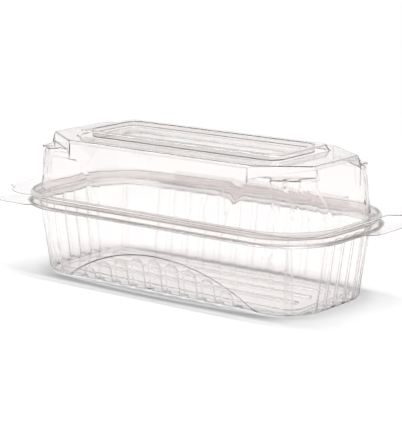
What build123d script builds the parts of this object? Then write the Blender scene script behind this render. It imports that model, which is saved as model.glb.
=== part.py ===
from build123d import *
import math
import os

os.makedirs("parts", exist_ok=True)

# Sheet and rim: the outline that the tray and the lid share
sheet = 0.6
rim_half_length = 120.0
rim_half_width = 56.5
rim_corner = 41.0
rim_inset = 0.4
play = 1.2
round_steps = 2

# Heights, each measured from the one before it
lip_height = 47.3
shelf_drop = 2.4
trough_rise = 2.1
flange_rise = 5.0
ledge_rise = 29.6
shoulder_rise = 6.8
label_rise = 4.0

# Tub of the tray
tub_inset = 6.2
floor_inset = 13.0
floor_round = 3.0
lip_reach = 0.8
lip_skirt = 1.5

# Arch and grooves in the tub's walls
arch_half_span = 76.0
arch_rise = 24.3
arch_depth = 1.2
front_groove_pitch = 13.9
front_groove_width = 9.6
front_groove_shift = -2.0
front_groove_gap = 3.4
back_groove_pitch = 13.8
back_groove_width = 9.4
end_groove_pitch = 10.6
end_groove_width = 8.0
end_groove_count = 5
groove_depth = 1.4
groove_foot = 1.5
groove_end_margin = 6.0

# Flat face and narrow groove at each corner of the tub
corner_face_angle = 36.0
corner_face_top_cut = 1.2
corner_face_foot_cut = 0.5
corner_groove_angle = 52.5
corner_groove_radius = 4.0
corner_groove_top_depth = 0.25
corner_groove_foot_depth = 0.85

# Notches that part the foot of the tub into toes
notch_radius = 1.9
notch_length = 5.0

# Raised panel in the floor
panel_inset = 8.0
panel_rise = 2.5
panel_corner = 8.0
floor_rib_count = 3
floor_rib_radius = 2.6
floor_rib_rise = 1.2
floor_rib_end_margin = 9.0

# Dome of the lid, between the trough and the shoulder
dome_inset = 4.5
dome_taper = 1.6
dome_corner = 30.0
long_bow = 700.0
foot_end_bow = 105.0
ledge_end_bow = 65.0
ledge_round = 5.0
front_lean = 6.3
end_lean = 11.2
front_panel_inset = 4.3
end_panel_inset = 3.8
shoulder_bevel = 1.4

# Corner cuts above the ledge
cut_start_length_share = 0.592
cut_end_width_share = 0.407

# Label frame on the shoulder
label_half_length = 79.9
label_half_width = 27.9
label_draft = 1.8
label_corner = 5.0
label_band = 4.6
label_depth = 4.2
label_pocket_corner = 9.0

# Upright ribs at the dome's corners
corner_rib_radius = 4.5
corner_rib_stand = 1.2
corner_rib_angles = (50.0, 71.0)
corner_rib_foot_rise = 6.2

# Flanges, pull tabs and hinge
flange_reach = 2.0
flange_corner = 20.0
tab_reach = 9.0
tab_corner = 13.0
corner_tab_length = 40.0
corner_tab_width = 27.0
side_tab_length = 40.0
side_tab_width = 46.0
hinge_half_length = 70.0
hinge_reach = 8.0
hinge_bead = 0.7
hinge_play = 0.3

# Sizes that follow from the ones above
shelf_height = lip_height - shelf_drop
trough_height = lip_height + trough_rise
flange_top = trough_height + flange_rise
ledge_height = flange_top + ledge_rise
shoulder_height = ledge_height + shoulder_rise
label_top = shoulder_height + label_rise
hinge_y = rim_half_width + hinge_reach
hinge_z = flange_top - sheet / 2
front_y = rim_half_width + flange_reach
body_shift = (front_y - hinge_y - hinge_bead) / 2
flange_half_length = rim_half_length + flange_reach
arch_radius = (arch_half_span**2 + arch_rise**2) / (2 * arch_rise)
corner_x = rim_half_length - rim_corner
corner_y = rim_half_width - rim_corner
front_wall = (0, rim_half_width)
back_wall = (180, rim_half_width)
end_walls = [(90, rim_half_length), (-90, rim_half_length)]
corners = [(-1, -1), (1, -1), (1, 1), (-1, 1)]


def level(height):
    """Horizontal plane at a height, centred on the tray."""
    return Plane(origin=(0, body_shift, height))


def rim_rectangle(inset):
    """The rim's rounded rectangle, moved inwards by an inset."""
    RectangleRounded(
        2 * (rim_half_length - inset),
        2 * (rim_half_width - inset),
        rim_corner - inset,
    )


def wall_inset(height):
    """How far the tub's wall stands inside the rim at a height."""
    return floor_inset + (tub_inset - floor_inset) * height / shelf_height


def quarter_round(size):
    """Steps of a rounded edge, as pairs of its distances from the two faces that it joins."""
    steps = []
    for step in range(round_steps + 1):
        angle = math.radians(90 * step / round_steps)
        steps.append((size * (1 - math.sin(angle)), size * (1 - math.cos(angle))))
    return steps


def tub_cone(inset, skin):
    """The tub as a tapering block with a rounded foot, moved inwards."""
    sections = []
    for rise, reach in reversed(quarter_round(floor_round - skin)):
        with BuildSketch(level(skin + rise)) as section:
            rim_rectangle(wall_inset(rise) + reach + inset)
        sections.append(section.sketch)
    with BuildSketch(level(shelf_height + skin)) as section:
        rim_rectangle(tub_inset + inset)
    sections.append(section.sketch)
    with BuildPart() as cone:
        loft(sections, ruled=True)
    return cone.part


def spread(count, pitch):
    """Positions at an equal pitch, centred on zero."""
    return [(index - (count - 1) / 2) * pitch for index in range(count)]


def count_along(half_run, pitch):
    """Odd number of grooves that fit in a straight run of wall."""
    return 2 * int(half_run / pitch) + 1


def arch_height(along):
    """Height of the front arch at a distance from its middle."""
    return arch_rise - arch_radius + math.sqrt(arch_radius**2 - along**2)


def cut_rod(foot, head, radius, round_head=False):
    """Cut a round rod between two points, with a round head if wanted."""
    run = head - foot
    with Locations(Plane(origin=foot, z_dir=run)):
        Cylinder(
            radius,
            run.length,
            align=(Align.CENTER, Align.CENTER, Align.MIN),
            mode=Mode.SUBTRACT,
        )
    if round_head:
        with Locations(head):
            Sphere(radius, mode=Mode.SUBTRACT)


def cut_groove(wall, along, width, top, skin, recess=0, round_head=False):
    """Cut one upright groove into a wall of the tub."""
    turn, reach = wall
    radius = ((width / 2) ** 2 + groove_depth**2) / (2 * groove_depth)
    stand_off = radius - groove_depth - recess
    heading = Location((0, body_shift, 0), (0, 0, turn))
    foot_out = reach - wall_inset(-groove_foot) + stand_off
    top_out = reach - wall_inset(top) + stand_off
    foot = heading * Location((along, -foot_out, -groove_foot))
    head = heading * Location((along, -top_out, top))
    cut_rod(foot.position, head.position, radius + skin, round_head)


def cut_notches(wall, places, skin):
    """Cut six-sided notches through the foot of a wall."""
    turn, reach = wall
    outside = reach - floor_inset + notch_radius
    length = notch_radius + notch_length + skin
    heading = Location((0, body_shift, 0), (0, 0, turn))
    for along in places:
        face = Plane(heading * Location((along, -outside, 0), (-90, 0, 0)))
        with BuildSketch(face) as notch:
            RegularPolygon(notch_radius + skin, 6)
        extrude(notch.sketch, amount=length, mode=Mode.SUBTRACT)


def around_corner(side_x, side_y, angle, radius, height):
    """Point around the upright axis of one of the tub's corners."""
    x = corner_x + radius * math.cos(math.radians(angle))
    y = corner_y + radius * math.sin(math.radians(angle))
    return Vector(side_x * x, side_y * y + body_shift, height)


def cut_corner(side_x, side_y, skin):
    """Cut the flat face and the narrow groove of one corner."""
    foot_radius = rim_corner - wall_inset(0)
    top_radius = rim_corner - wall_inset(shelf_height)
    block = rim_corner
    middle_way = around_corner(side_x, side_y, corner_face_angle, 1, 0)
    middle_way -= around_corner(side_x, side_y, corner_face_angle, 0, 0)
    turn = math.degrees(math.atan2(middle_way.Y, middle_way.X))
    sections = []
    for height, reach in (
        (0, foot_radius - corner_face_foot_cut - skin),
        (shelf_height + sheet, top_radius - corner_face_top_cut - skin),
    ):
        middle = around_corner(side_x, side_y, corner_face_angle, reach + block / 2, height)
        with BuildSketch(Plane(origin=(0, 0, height))) as section:
            with Locations(Location((middle.X, middle.Y), turn)):
                Rectangle(block, block)
        sections.append(section.sketch)
    loft(sections, ruled=True, mode=Mode.SUBTRACT)
    foot_reach = foot_radius + corner_groove_radius - corner_groove_foot_depth
    top_reach = top_radius + corner_groove_radius - corner_groove_top_depth
    foot = around_corner(side_x, side_y, corner_groove_angle, foot_reach, 0)
    head = around_corner(side_x, side_y, corner_groove_angle, top_reach, shelf_height)
    lead = (head - foot) * (groove_foot / shelf_height)
    cut_rod(foot - lead, head + lead, corner_groove_radius + skin)


def tub_solid(skin):
    """The tub with its arch, grooves, feet and floor panel, walls moved inwards by skin."""
    through = shelf_height + 2 * sheet
    back_count = count_along(rim_half_length - rim_corner, back_groove_pitch)
    back_places = spread(back_count, back_groove_pitch)
    end_places = spread(end_groove_count, end_groove_pitch)
    front_run = arch_half_span - groove_end_margin - front_groove_width / 2
    front_count = count_along(front_run, front_groove_pitch)
    front_places = [
        along + front_groove_shift for along in spread(front_count, front_groove_pitch)
    ]
    with BuildPart() as tub:
        add(tub_cone(skin, skin))
        with BuildSketch(Plane.XZ.offset(-body_shift)):
            with Locations((0, arch_rise - arch_radius)):
                Circle(arch_radius + skin)
        extrude(amount=rim_half_width, mode=Mode.SUBTRACT)
        add(tub_cone(arch_depth + skin, skin))
        for along in front_places:
            top = arch_height(along) - front_groove_gap - front_groove_width / 2
            cut_groove(front_wall, along, front_groove_width, top, skin, arch_depth, True)
        for along in back_places:
            cut_groove(back_wall, along, back_groove_width, through, skin)
        for wall in end_walls:
            for along in end_places:
                cut_groove(wall, along, end_groove_width, through, skin)
            cut_notches(wall, spread(end_groove_count + 1, end_groove_pitch), skin)
        for side_x, side_y in corners:
            cut_corner(side_x, side_y, skin)
        notch_places = [
            along + front_groove_shift
            for along in spread(front_count + 1, front_groove_pitch)
        ]
        cut_notches(front_wall, notch_places, skin)
        panel_half_length = rim_half_length - floor_inset - floor_round - panel_inset
        panel_half_width = rim_half_width - floor_inset - floor_round - panel_inset
        with BuildSketch(level(0)):
            RectangleRounded(
                2 * (panel_half_length + skin),
                2 * (panel_half_width + skin),
                panel_corner + skin,
            )
        extrude(amount=panel_rise + skin, mode=Mode.SUBTRACT)
        rib_half_length = panel_half_length - floor_rib_end_margin
        rib_drop = floor_rib_radius - floor_rib_rise
        rib_pitch = 2 * panel_half_width / (floor_rib_count + 1)
        for across in spread(floor_rib_count, rib_pitch):
            with Locations((0, body_shift + across, panel_rise - rib_drop)):
                Cylinder(
                    floor_rib_radius + skin,
                    2 * rib_half_length,
                    rotation=(0, 90, 0),
                    mode=Mode.SUBTRACT,
                )
    return tub.part


def corner_tab(side):
    """Pull tab that squares off the flange's corner."""
    x = flange_half_length + tab_reach - corner_tab_length / 2
    with Locations((side * x, side * (front_y - corner_tab_width / 2))):
        RectangleRounded(corner_tab_length, corner_tab_width, tab_corner)


def side_tab(side):
    """Pull tab beside the corner, which leaves the corner itself round."""
    x = flange_half_length + tab_reach - side_tab_length / 2
    with Locations((side * x, side * side_tab_width / 2)):
        RectangleRounded(side_tab_length, side_tab_width, tab_corner)


# Tray: one formed sheet with a rim wall, a lip with tabs and the hinge's lower half
with BuildPart() as tray:
    add(tub_solid(0))
    with BuildSketch(level(shelf_height)):
        rim_rectangle(rim_inset)
    extrude(amount=flange_top - sheet - play - shelf_height)
    with BuildSketch(level(lip_height - sheet)):
        rim_rectangle(-lip_reach)
        corner_tab(-1)
        side_tab(1)
        with Locations((0, hinge_y / 2 + sheet / 4)):
            Rectangle(2 * hinge_half_length, hinge_y + sheet / 2)
    extrude(amount=sheet)
    with BuildSketch(level(lip_height - lip_skirt)):
        rim_rectangle(-lip_reach)
        with BuildSketch(mode=Mode.PRIVATE) as inside:
            rim_rectangle(sheet - lip_reach)
        add(inside.sketch, mode=Mode.SUBTRACT)
    extrude(amount=lip_skirt)
    with Locations((0, body_shift + hinge_y, lip_height - sheet)):
        Box(
            2 * hinge_half_length,
            sheet,
            hinge_z - lip_height + sheet,
            align=(Align.CENTER, Align.CENTER, Align.MIN),
        )
    with Locations((0, body_shift + hinge_y, hinge_z)):
        Cylinder(hinge_bead, 2 * hinge_half_length, rotation=(0, 90, 0))
    add(tub_solid(sheet), mode=Mode.SUBTRACT)
    with BuildSketch(level(shelf_height + sheet)):
        rim_rectangle(rim_inset + sheet)
    extrude(amount=flange_top - shelf_height, mode=Mode.SUBTRACT)
tray.part.label = "tray"
export_step(tray.part, "parts/tray.step")


def corner_centre(half_length, half_width, corner, end_bow):
    """Centre of the arc that joins a bowed end to a bowed long side."""
    long_centre = Vector(0, half_width - long_bow)
    between = Vector(half_length - end_bow, 0) - long_centre
    long_side = long_bow - corner
    end_side = end_bow - corner
    along = (long_side**2 - end_side**2 + between.length**2) / (2 * between.length)
    unit = between.normalized()
    aside = Vector(unit.Y, -unit.X) * math.sqrt(long_side**2 - along**2)
    return long_centre + unit * along + aside


def bowed_outline(inset, end_bow):
    """The dome's plan at an inset from the rim, with bowed sides and round corners."""
    half_length = rim_half_length - inset
    half_width = rim_half_width - inset
    corner = dome_corner + dome_inset - inset
    centre = corner_centre(half_length, half_width, corner, end_bow)
    long_centre = Vector(0, half_width - long_bow)
    end_centre = Vector(half_length - end_bow, 0)
    long_way = (centre - long_centre).normalized()
    end_way = (centre - end_centre).normalized()
    top = long_centre + long_way * long_bow
    right = end_centre + end_way * end_bow
    knee = centre + (long_way + end_way).normalized() * corner
    with BuildLine() as edge:
        ThreePointArc((-top.X, top.Y), (0, half_width), (top.X, top.Y))
        ThreePointArc((top.X, top.Y), (knee.X, knee.Y), (right.X, right.Y))
        ThreePointArc((right.X, right.Y), (half_length, 0), (right.X, -right.Y))
        ThreePointArc((right.X, -right.Y), (knee.X, -knee.Y), (top.X, -top.Y))
        ThreePointArc((top.X, -top.Y), (0, -half_width), (-top.X, -top.Y))
        ThreePointArc((-top.X, -top.Y), (-knee.X, -knee.Y), (-right.X, -right.Y))
        ThreePointArc((-right.X, -right.Y), (-half_length, 0), (-right.X, right.Y))
        ThreePointArc((-right.X, right.Y), (-knee.X, knee.Y), (-top.X, top.Y))
    make_face(edge.edges())


def bulge(skin):
    """The rounded body below the ledge, which shows at the dome's corners."""
    inset = dome_inset + dome_taper + skin
    stations = [(trough_height, dome_inset + skin, foot_end_bow)]
    for drop, reach in quarter_round(ledge_round - skin):
        stations.append((ledge_height - skin - drop, inset + reach, ledge_end_bow))
    sections = []
    for height, reach, end_bow in stations:
        with BuildSketch(level(height)) as section:
            bowed_outline(reach, end_bow)
        sections.append(section.sketch)
    loft(sections, ruled=True)


def corner_wedge(side_x, side_y, half_length, half_width):
    """The plan of one corner cut, a wedge that runs on outside the dome."""
    start = cut_start_length_share * rim_half_length
    end = cut_end_width_share * rim_half_width
    points = [
        (start, half_width),
        (half_length, end),
        (rim_half_length, end),
        (rim_half_length, rim_half_width),
        (start, rim_half_width),
    ]
    Polygon(*[(side_x * x, side_y * y) for x, y in points], align=None)


def dome_solid(skin):
    """The dome from the trough up, with every surface moved inwards by skin."""
    top = shoulder_height - skin
    foot_length = rim_half_length - end_panel_inset
    foot_width = rim_half_width - front_panel_inset
    top_length = foot_length - end_lean
    top_width = foot_width - front_lean
    crown_foot = ledge_height - ledge_round
    with BuildPart() as dome:
        bulge(skin)
        with BuildSketch(level(crown_foot)):
            Rectangle(2 * rim_half_length, 2 * rim_half_width)
            with BuildSketch(mode=Mode.PRIVATE) as cuts:
                for side_x, side_y in corners:
                    corner_wedge(side_x, side_y, top_length, top_width)
                if skin:
                    offset(amount=skin, kind=Kind.INTERSECTION)
            add(cuts.sketch, mode=Mode.SUBTRACT)
        extrude(amount=top - crown_foot)
        with BuildSketch(level(trough_height)):
            Rectangle(2 * (foot_length - skin), 2 * (foot_width - skin))
        with BuildSketch(level(top)):
            Rectangle(2 * (top_length - skin), 2 * (top_width - skin))
        loft(ruled=True, mode=Mode.INTERSECT)
        bevel = shoulder_bevel + skin * (math.sqrt(2) - 1)
        spread_below = top - trough_height - bevel
        with BuildSketch(level(trough_height)):
            Rectangle(2 * (top_length + spread_below), 2 * (top_width + spread_below))
        with BuildSketch(level(top)):
            Rectangle(2 * (top_length - bevel), 2 * (top_width - bevel))
        loft(ruled=True, mode=Mode.INTERSECT)
        rib_inset = dome_inset + dome_taper
        centre = corner_centre(
            rim_half_length - rib_inset,
            rim_half_width - rib_inset,
            dome_corner - dome_taper,
            ledge_end_bow,
        )
        rib_reach = dome_corner - dome_taper + corner_rib_stand - corner_rib_radius
        rib_foot = flange_top + corner_rib_foot_rise
        for side_x, side_y in corners:
            for angle in corner_rib_angles:
                x = side_x * (centre.X + rib_reach * math.cos(math.radians(angle)))
                y = side_y * (centre.Y + rib_reach * math.sin(math.radians(angle)))
                with Locations((x, y + body_shift, rib_foot)):
                    Cylinder(
                        corner_rib_radius - skin,
                        ledge_height - skin - rib_foot,
                        align=(Align.CENTER, Align.CENTER, Align.MIN),
                    )
                    Sphere(corner_rib_radius - skin)
        foot_half_length = label_half_length + label_draft
        foot_half_width = label_half_width + label_draft
        with BuildSketch(level(top)):
            RectangleRounded(
                2 * (foot_half_length - skin), 2 * (foot_half_width - skin), label_corner
            )
        with BuildSketch(level(label_top - skin)):
            RectangleRounded(
                2 * (label_half_length - skin), 2 * (label_half_width - skin), label_corner
            )
        loft(ruled=True)
        with BuildSketch(level(label_top - label_depth - skin)):
            RectangleRounded(
                2 * (label_half_length - label_band + skin),
                2 * (label_half_width - label_band + skin),
                label_pocket_corner + skin,
            )
        extrude(amount=label_top, mode=Mode.SUBTRACT)
    return dome.part


# Lid: one formed sheet with a flange, a trough that sits inside the rim wall, and the dome
plug_inset = rim_inset + sheet + play
wing_reach = hinge_y - hinge_bead - hinge_play
with BuildPart() as lid:
    with BuildSketch(level(flange_top - sheet)):
        RectangleRounded(2 * flange_half_length, 2 * front_y, flange_corner)
        side_tab(-1)
        corner_tab(1)
        with Locations((0, wing_reach / 2)):
            Rectangle(2 * hinge_half_length, wing_reach)
    extrude(amount=sheet)
    with BuildSketch(level(trough_height)):
        rim_rectangle(plug_inset)
    extrude(amount=flange_top - trough_height)
    with BuildSketch(level(trough_height + sheet)):
        rim_rectangle(plug_inset + sheet)
    extrude(amount=flange_top, mode=Mode.SUBTRACT)
    add(dome_solid(0))
    add(dome_solid(sheet), mode=Mode.SUBTRACT)
lid.part.label = "lid"
export_step(lid.part, "parts/lid.step")
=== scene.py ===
# %% [markdown]
# # A clear hinged food pack
# The real object is one sheet of clear plastic, formed over a mould into a long tray and a domed lid that are
# joined by a crease. Almost everything that the eye sees on it is light bent at its folds, so the two main
# jobs here are rounded folds in a thin double wall, and a surrounding that gives those folds something to show.
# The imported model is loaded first, because every piece is made in its frame, in metres.

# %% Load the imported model
import math
import bpy
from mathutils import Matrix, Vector


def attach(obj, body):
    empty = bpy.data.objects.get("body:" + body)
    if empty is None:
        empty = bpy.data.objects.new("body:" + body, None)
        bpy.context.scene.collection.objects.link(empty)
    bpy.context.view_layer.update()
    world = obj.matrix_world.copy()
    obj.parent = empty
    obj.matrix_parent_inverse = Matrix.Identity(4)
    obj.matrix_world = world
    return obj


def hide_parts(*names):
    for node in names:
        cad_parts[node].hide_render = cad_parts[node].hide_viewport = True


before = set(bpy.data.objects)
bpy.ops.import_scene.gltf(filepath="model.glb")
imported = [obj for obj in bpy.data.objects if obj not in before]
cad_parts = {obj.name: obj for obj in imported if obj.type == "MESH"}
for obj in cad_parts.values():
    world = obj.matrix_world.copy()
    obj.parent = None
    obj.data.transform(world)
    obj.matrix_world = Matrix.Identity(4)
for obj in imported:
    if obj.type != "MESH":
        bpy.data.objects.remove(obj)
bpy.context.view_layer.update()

scene = bpy.context.scene
scene.view_settings.view_transform = "Standard"

# %% [markdown]
# ## The camera
# A camera can be placed by eye, or worked out from straight edges of known direction. The rim, the floor's edge
# and the label frame are such edges, and they give the angle round the pack, the height and the distance. The
# lens is long, so the pack's far end is only a little smaller than its near end.

# %% Place the camera
PICTURE_WIDTH = 402
VIEW_AZIMUTH = math.radians(38.07)
VIEW_ELEVATION = math.radians(12.0)
VIEW_DISTANCE = 1.121
FOCAL_PIXELS = 1746
VIEW_TARGET = Vector((0, -0.00335, 0.0473))

towards_camera = Vector((
    math.sin(VIEW_AZIMUTH) * math.cos(VIEW_ELEVATION),
    -math.cos(VIEW_AZIMUTH) * math.cos(VIEW_ELEVATION),
    math.sin(VIEW_ELEVATION)))
camera = bpy.data.objects.new("camera", bpy.data.cameras.new("camera"))
scene.collection.objects.link(camera)
camera.location = VIEW_TARGET + towards_camera * VIEW_DISTANCE
camera.rotation_euler = (math.pi / 2 - VIEW_ELEVATION, 0, VIEW_AZIMUTH)
camera.data.sensor_fit = "HORIZONTAL"
camera.data.sensor_width = 36
camera.data.lens = FOCAL_PIXELS / PICTURE_WIDTH * camera.data.sensor_width
camera.data.shift_x = 0.36 / PICTURE_WIDTH
camera.data.shift_y = -9.65 / PICTURE_WIDTH
camera.data.clip_end = 50
scene.camera = camera
print("camera at", [round(value, 3) for value in camera.location])

# %% [markdown]
# ## Writing materials as sums
# A node tree can be wired link by link, or written like arithmetic. A small class holds one output socket and
# turns +, -, * and the rest into Math nodes, so a formula in the script reads as it would on paper. Every other
# node comes from one method that takes the node's type, its settings and its sockets.

# %% A socket that can be added and multiplied
class Wire:
    def __init__(self, shader, socket):
        self.shader = shader
        self.socket = socket

    def math(self, operation, *values, clamped=False):
        settings = {"operation": operation, "use_clamp": clamped}
        return self.shader.node("ShaderNodeMath", settings, dict(zip(("Value", "Value_001"), values)))["Value"]

    def __add__(self, other): return self.math("ADD", self, other)
    def __radd__(self, other): return self.math("ADD", other, self)
    def __sub__(self, other): return self.math("SUBTRACT", self, other)
    def __rsub__(self, other): return self.math("SUBTRACT", other, self)
    def __mul__(self, other): return self.math("MULTIPLY", self, other)
    def __rmul__(self, other): return self.math("MULTIPLY", other, self)
    def __pow__(self, other): return self.math("POWER", self, other)
    def __abs__(self): return self.math("ABSOLUTE", self)

    def either(self, other):
        return self.math("MAXIMUM", self, other)

    def below(self, edge, blur):
        """1 where the value is under the edge, 0 above it, with a soft change between."""
        return self.math("ADD", (edge - self) * (0.5 / blur), 0.5, clamped=True)

    def above(self, edge, blur):
        return 1 - self.below(edge, blur)

# %% The node tree that makes them
class Shader:
    def __init__(self, owner):
        owner.use_nodes = True
        self.tree = owner.node_tree
        self.tree.nodes.clear()

    def node(self, kind, settings=None, sockets=None):
        made = self.tree.nodes.new(kind)
        for name, value in (settings or {}).items():
            if name == "stops":
                self.set_stops(made.color_ramp, value)
            else:
                setattr(made, name, value)
        inputs = {socket.identifier: socket for socket in made.inputs}
        for name, value in (sockets or {}).items():
            if isinstance(value, Wire):
                self.tree.links.new(value.socket, inputs[name])
            else:
                inputs[name].default_value = value
        return {socket.identifier: Wire(self, socket) for socket in made.outputs}

    def set_stops(self, ramp, stops):
        while len(ramp.elements) < len(stops):
            ramp.elements.new(1.0)
        for element, (place, colour) in zip(ramp.elements, stops):
            element.position = place
            element.color = (*colour, 1.0)


print("shader tools ready")

# %% [markdown]
# ## The floor
# A pack for sale is usually set on a white sweep, so that only its contact shadow separates it from the page.
# A floor lit until it clips would wash out that shadow. Here the floor keeps a plain diffuse surface, and what
# the camera, a reflection or the clear sheet sees of it has a steady glow added, so open floor reads as white
# while the shadow still darkens it. Further out, where the lamp fades, the sweep is plain white.

# %% Lay the floor
FLOOR_COLOUR = (0.90, 0.90, 0.902)
FLOOR_GLOW = 0.14
FLOOR_SIZE = 16
SWEEP_RADIUS = 0.45
SWEEP_BLUR = 0.25


def seen_directly(shader):
    """1 for a ray from the camera, a reflection or a clear wall, and 0 for the light that bounces about."""
    path = shader.node("ShaderNodeLightPath")
    return path["Is Camera Ray"].either(path["Is Glossy Ray"]).either(path["Is Transmission Ray"])


bpy.ops.object.select_all(action="DESELECT")
bpy.ops.mesh.primitive_plane_add(size=FLOOR_SIZE)
floor = bpy.context.object
floor.name = "floor"
floor_paint = bpy.data.materials.new("white_sweep")
paint = Shader(floor_paint)
matt = paint.node("ShaderNodeBsdfDiffuse", None, {"Color": (*FLOOR_COLOUR, 1)})["BSDF"]
glow = paint.node("ShaderNodeEmission", None, {"Strength": FLOOR_GLOW})["Emission"]
near = paint.node("ShaderNodeAddShader", None, {"Shader": matt, "Shader_001": glow})["Shader"]
white = paint.node("ShaderNodeEmission", None, {"Strength": 1.0})["Emission"]
place = paint.node("ShaderNodeTexCoord")["Object"]
distance = paint.node("ShaderNodeVectorMath", {"operation": "LENGTH"}, {"Vector": place})["Value"]
lit = paint.node(
    "ShaderNodeMixShader", None,
    {"Fac": distance.above(SWEEP_RADIUS, SWEEP_BLUR), "Shader": near, "Shader_001": white})["Shader"]
shown = paint.node("ShaderNodeMixShader", None, {"Fac": seen_directly(paint), "Shader": matt, "Shader_001": lit})
paint.node("ShaderNodeOutputMaterial", None, {"Surface": shown["Shader"]})
floor.data.materials.append(floor_paint)
print("floor laid, glow", FLOOR_GLOW)

# %% [markdown]
# ## The surrounding
# A clear fold shows as a line only if it bends the view towards something darker than the backdrop. The studio
# is therefore white from the floor up to well above the horizon, and a soft grey overhead. Flat walls, which
# bend nothing, stay white, and folds pick up the grey. The light that falls on things is a plain grey dome.

# %% Make the surrounding
DOME_COLOUR = (0.26, 0.26, 0.263)
STUDIO_STOPS = [
    (0.00, (1.00, 1.00, 1.00)),
    (0.36, (0.97, 0.96, 0.96)),
    (0.58, (0.52, 0.49, 0.495)),
    (1.00, (0.36, 0.34, 0.345))]

studio = bpy.data.worlds.new("studio")
scene.world = studio
sky = Shader(studio)
direction = sky.node("ShaderNodeTexCoord")["Generated"]
height = sky.node("ShaderNodeSeparateXYZ", None, {"Vector": direction})["Z"]
bands = sky.node("ShaderNodeValToRGB", {"stops": STUDIO_STOPS}, {"Fac": height})["Color"]
dome_light = sky.node("ShaderNodeBackground", None, {"Color": (*DOME_COLOUR, 1)})["Background"]
seen_studio = sky.node("ShaderNodeBackground", None, {"Color": bands})["Background"]
both = sky.node(
    "ShaderNodeMixShader", None,
    {"Fac": seen_directly(sky), "Shader": dome_light, "Shader_001": seen_studio})["Shader"]
sky.node("ShaderNodeOutputWorld", None, {"Surface": both})
print("studio bands", len(STUDIO_STOPS))

# %% [markdown]
# ## The lamp
# The shadow in the photograph is a narrow dark band under the front wall, and it fades out at both ends. A round
# lamp would give every side the same shadow. A strip lamp that hangs along the pack's long side, a little behind
# it, keeps the front band narrow and blurs the shadow of the two ends away.

# %% Hang the lamp
LAMP_PLACE = Vector((0, 0.08, 1.9))
LAMP_LENGTH = 2.4
LAMP_DEPTH = 0.18
LAMP_POWER = 38

lamp = bpy.data.objects.new("overhead_lamp", bpy.data.lights.new("overhead_lamp", "AREA"))
scene.collection.objects.link(lamp)
lamp.data.shape = "RECTANGLE"
lamp.data.size = LAMP_LENGTH
lamp.data.size_y = LAMP_DEPTH
lamp.data.energy = LAMP_POWER
lamp.location = LAMP_PLACE
lamp.rotation_euler = (math.atan2(VIEW_TARGET.y - LAMP_PLACE.y, LAMP_PLACE.z - VIEW_TARGET.z), 0, 0)
print("lamp power", LAMP_POWER, "W")

# %% [markdown]
# ## The clear sheet
# The plastic is PET: clear and glossy, with a very faint warm pink where two or more walls lie behind each
# other. The wall is modelled with both its faces, so glass with the plastic's own index is right, and a single
# tint per wall adds up where walls overlap. Three things keep it from looking like window glass: a slow waviness
# from forming, a slight haze that varies over the sheet, and folds that are rougher and cloudier than the walls.
# Shade is also painted into the colour: a darker tint and grey haze along the folds, a darker band at the rim,
# and more grey haze, partly painted shade, where a wall is seen edge on. The label frame's front wall is darker
# and grained. A lamp's ray would be stopped by glass, so shadow rays meet a plain transparent shader instead,
# darker where the wall is seen edge on.

# %% Materials for the walls and for the folds
SHEET_INDEX = 1.5
WALL_TINT = (0.983, 0.964, 0.959)
# the fold's darker tint is painted shade along the creases
FOLD_PAINTED_SHADE = (0.955, 0.930, 0.924)
# painted shade: the darker tint of the rim band
RIM_PAINTED_SHADE = (0.925, 0.897, 0.890)
PANEL_TINT = (0.80, 0.795, 0.785)
HAZE_AND_SHADE_COLOUR = (0.42, 0.39, 0.385)
RIM_BAND = (0.0470, 0.0529)
PANEL_BAND = (-0.0309, -0.0255)
PANEL_HEIGHT = 0.0903
PANEL_HALF_LENGTH = 0.072
EDGE_BLUR = 0.0006
SLOW_SCALE, SLOW_DETAIL = 38.0, 2.0
FINE_SCALE, FINE_DETAIL = 260.0, 3.0
GRAIN_SCALE, GRAIN_DETAIL = 1100.0, 1.0
WAVE_HEIGHT = 0.00006
HAZE_ROUGHNESS = 0.35
THIN_SHADE = (0.97, 0.97, 0.972)
EDGE_ON_SHADE = (0.03, 0.03, 0.032)
SHADE_POWER = 2.5


def blended(shader, mask, colour, other):
    """The first colour, turning into the other one where the mask is 1."""
    sockets = {"Factor_Float": mask, "A_Color": colour, "B_Color": other}
    return shader.node("ShaderNodeMix", {"data_type": "RGBA"}, sockets)["Result_Color"]


def noise(sheet, place, scale, detail):
    """A soft pattern between 0 and 1 over the whole sheet."""
    return sheet.node("ShaderNodeTexNoise", None, {"Vector": place, "Scale": scale, "Detail": detail})["Fac"]


def label_wall(at):
    """1 on the front wall of the label panel's frame, which the colour makes darker in a grained pattern, and 0
    elsewhere.
    """
    return (
        at["Z"].above(PANEL_HEIGHT, EDGE_BLUR) * abs(at["X"]).below(PANEL_HALF_LENGTH, EDGE_BLUR)
        * at["Y"].above(PANEL_BAND[0], EDGE_BLUR) * at["Y"].below(PANEL_BAND[1], EDGE_BLUR))


def lamp_shade(sheet, facing):
    """What a lamp's ray meets: nearly nothing on a wall seen face on, and a dark filter on one seen edge on."""
    thin = sheet.node("ShaderNodeBsdfTransparent", None, {"Color": (*THIN_SHADE, 1)})["BSDF"]
    edge_on = sheet.node("ShaderNodeBsdfTransparent", None, {"Color": (*EDGE_ON_SHADE, 1)})["BSDF"]
    return sheet.node("ShaderNodeMixShader", None, {
        "Fac": facing ** SHADE_POWER, "Shader": thin, "Shader_001": edge_on})["Shader"]


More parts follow.
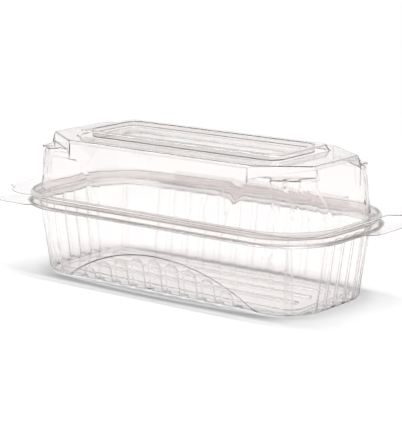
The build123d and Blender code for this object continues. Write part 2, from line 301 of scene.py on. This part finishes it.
def clear_plastic(name, tint, haze, roughness):
    """Clear plastic: a tint with a painted darker shade on the rim band, darker and grained on the label wall, a
    share of grey haze that is partly painted shade and grows where the sheet is seen edge on, and a roughness that
    varies by noise.
    """
    material = bpy.data.materials.new(name)
    sheet = Shader(material)
    place = sheet.node("ShaderNodeTexCoord")["Object"]
    at = sheet.node("ShaderNodeSeparateXYZ", None, {"Vector": place})
    slow = noise(sheet, place, SLOW_SCALE, SLOW_DETAIL)
    fine = noise(sheet, place, FINE_SCALE, FINE_DETAIL)
    grain = noise(sheet, place, GRAIN_SCALE, GRAIN_DETAIL)
    # painted shade: the band of the rim gets a darker tint
    rim = at["Z"].above(RIM_BAND[0], EDGE_BLUR) * at["Z"].below(RIM_BAND[1], EDGE_BLUR)
    label = label_wall(at)
    rim_shaded_colour = blended(sheet, rim, (*tint, 1), (*RIM_PAINTED_SHADE, 1))
    # darker and grained on the front wall of the label frame
    colour = blended(sheet, label * (0.35 + grain), rim_shaded_colour, (*PANEL_TINT, 1))
    relief = slow * 0.9 + fine * 0.1 + label * grain * 0.8
    bump = sheet.node("ShaderNodeBump", None, {"Height": relief, "Distance": WAVE_HEIGHT})["Normal"]
    clear = sheet.node("ShaderNodeBsdfPrincipled", None, {
        "Base Color": colour, "Roughness": roughness * (0.6 + slow * 0.8), "IOR": SHEET_INDEX,
        "Transmission Weight": 1.0, "Normal": bump})["BSDF"]
    # grey haze, partly real cloudiness and partly painted shade; it grows where the sheet is seen edge on
    haze_and_shade = sheet.node("ShaderNodeBsdfPrincipled", None, {
        "Base Color": (*HAZE_AND_SHADE_COLOUR, 1), "Roughness": HAZE_ROUGHNESS, "IOR": SHEET_INDEX, "Normal": bump})["BSDF"]
    facing = sheet.node("ShaderNodeLayerWeight", None, {"Blend": 0.5})["Facing"]
    body = sheet.node("ShaderNodeMixShader", None, {
        "Fac": haze * (0.2 + fine * 0.2 + facing * facing * 3.0), "Shader": clear, "Shader_001": haze_and_shade})["Shader"]
    path = sheet.node("ShaderNodeLightPath")
    whole = sheet.node("ShaderNodeMixShader", None, {
        "Fac": path["Is Shadow Ray"].either(path["Is Diffuse Ray"]), "Shader": body,
        "Shader_001": lamp_shade(sheet, facing)})
    sheet.node("ShaderNodeOutputMaterial", None, {"Surface": whole["Shader"]})
    return material


wall_plastic = clear_plastic("clear_wall", WALL_TINT, haze=0.006, roughness=0.05)
# the fold plastic is rougher, and its darker tint and heavier grey haze are painted shade along the creases
shaded_fold_plastic = clear_plastic("clear_fold_shaded", FOLD_PAINTED_SHADE, haze=0.11, roughness=0.18)
print("materials", wall_plastic.name, shaded_fold_plastic.name)

# %% [markdown]
# ## From imported model to formed sheet
# The imported walls meet in sharp creases, but a heated sheet can't: it rounds every fold to about its own
# thickness. The folds could be modelled one by one, or rounded all together. A copy of the imported mesh is
# merged, its flat triangles are joined into faces, and one bevel rounds every crease. The bevel's own strips get
# the rougher fold plastic, with its painted crease shade. Weighted normals then keep the large faces flat, so
# that only the folds bend the view.

# %% A tool that rounds the folds
FOLD_WIDTH = 0.0005
FOLD_STEPS = 2
FOLD_ANGLE = math.radians(18)
FLAT_ANGLE = math.radians(1.5)
SMOOTH_ANGLE = math.radians(50)
MERGE_DISTANCE = 0.00002
SMALLEST_EDGE = 0.00005


def joined_copy(node, name):
    """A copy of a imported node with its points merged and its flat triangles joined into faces."""
    piece = bpy.data.objects.new(name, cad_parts[node].data.copy())
    scene.collection.objects.link(piece)
    bpy.ops.object.select_all(action="DESELECT")
    piece.select_set(True)
    bpy.context.view_layer.objects.active = piece
    bpy.ops.mesh.customdata_custom_splitnormals_clear()
    bpy.ops.object.mode_set(mode="EDIT")
    bpy.ops.mesh.select_mode(type="VERT")
    bpy.ops.mesh.select_all(action="SELECT")
    bpy.ops.mesh.remove_doubles(threshold=MERGE_DISTANCE)
    bpy.ops.mesh.dissolve_limited(angle_limit=FLAT_ANGLE)
    bpy.ops.mesh.select_all(action="SELECT")
    bpy.ops.mesh.dissolve_degenerate(threshold=SMALLEST_EDGE)
    bpy.ops.mesh.select_all(action="SELECT")
    bpy.ops.mesh.delete_loose()
    bpy.ops.object.mode_set(mode="OBJECT")
    return piece


def formed_sheet(node, name):
    """The joined copy with its creases rounded, as a new piece that replaces the node."""
    piece = joined_copy(node, name)
    piece.data.materials.clear()
    piece.data.materials.append(wall_plastic)
    piece.data.materials.append(shaded_fold_plastic)
    fold = piece.modifiers.new("fold", "BEVEL")
    fold.width = FOLD_WIDTH
    fold.segments = FOLD_STEPS
    fold.limit_method = "ANGLE"
    fold.angle_limit = FOLD_ANGLE
    fold.use_clamp_overlap = False
    fold.material = 1
    bpy.ops.object.modifier_apply(modifier="fold")
    bpy.ops.object.shade_smooth_by_angle(angle=SMOOTH_ANGLE)
    flat = piece.modifiers.new("flat", "WEIGHTED_NORMAL")
    flat.keep_sharp = True
    bpy.ops.object.modifier_apply(modifier="flat")
    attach(piece, node)
    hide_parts(node)
    folds = sum(face.material_index == 1 for face in piece.data.polygons)
    print(name, "faces", len(piece.data.polygons), "of them folds", folds)


# %% [markdown]
# ## The tray and the lid
# They are two bodies here because the lid turns about the crease at the back, so each gets its own formed sheet.

# %% Form both sheets
formed_sheet("tray", "tray_wall")
formed_sheet("lid", "lid_wall")
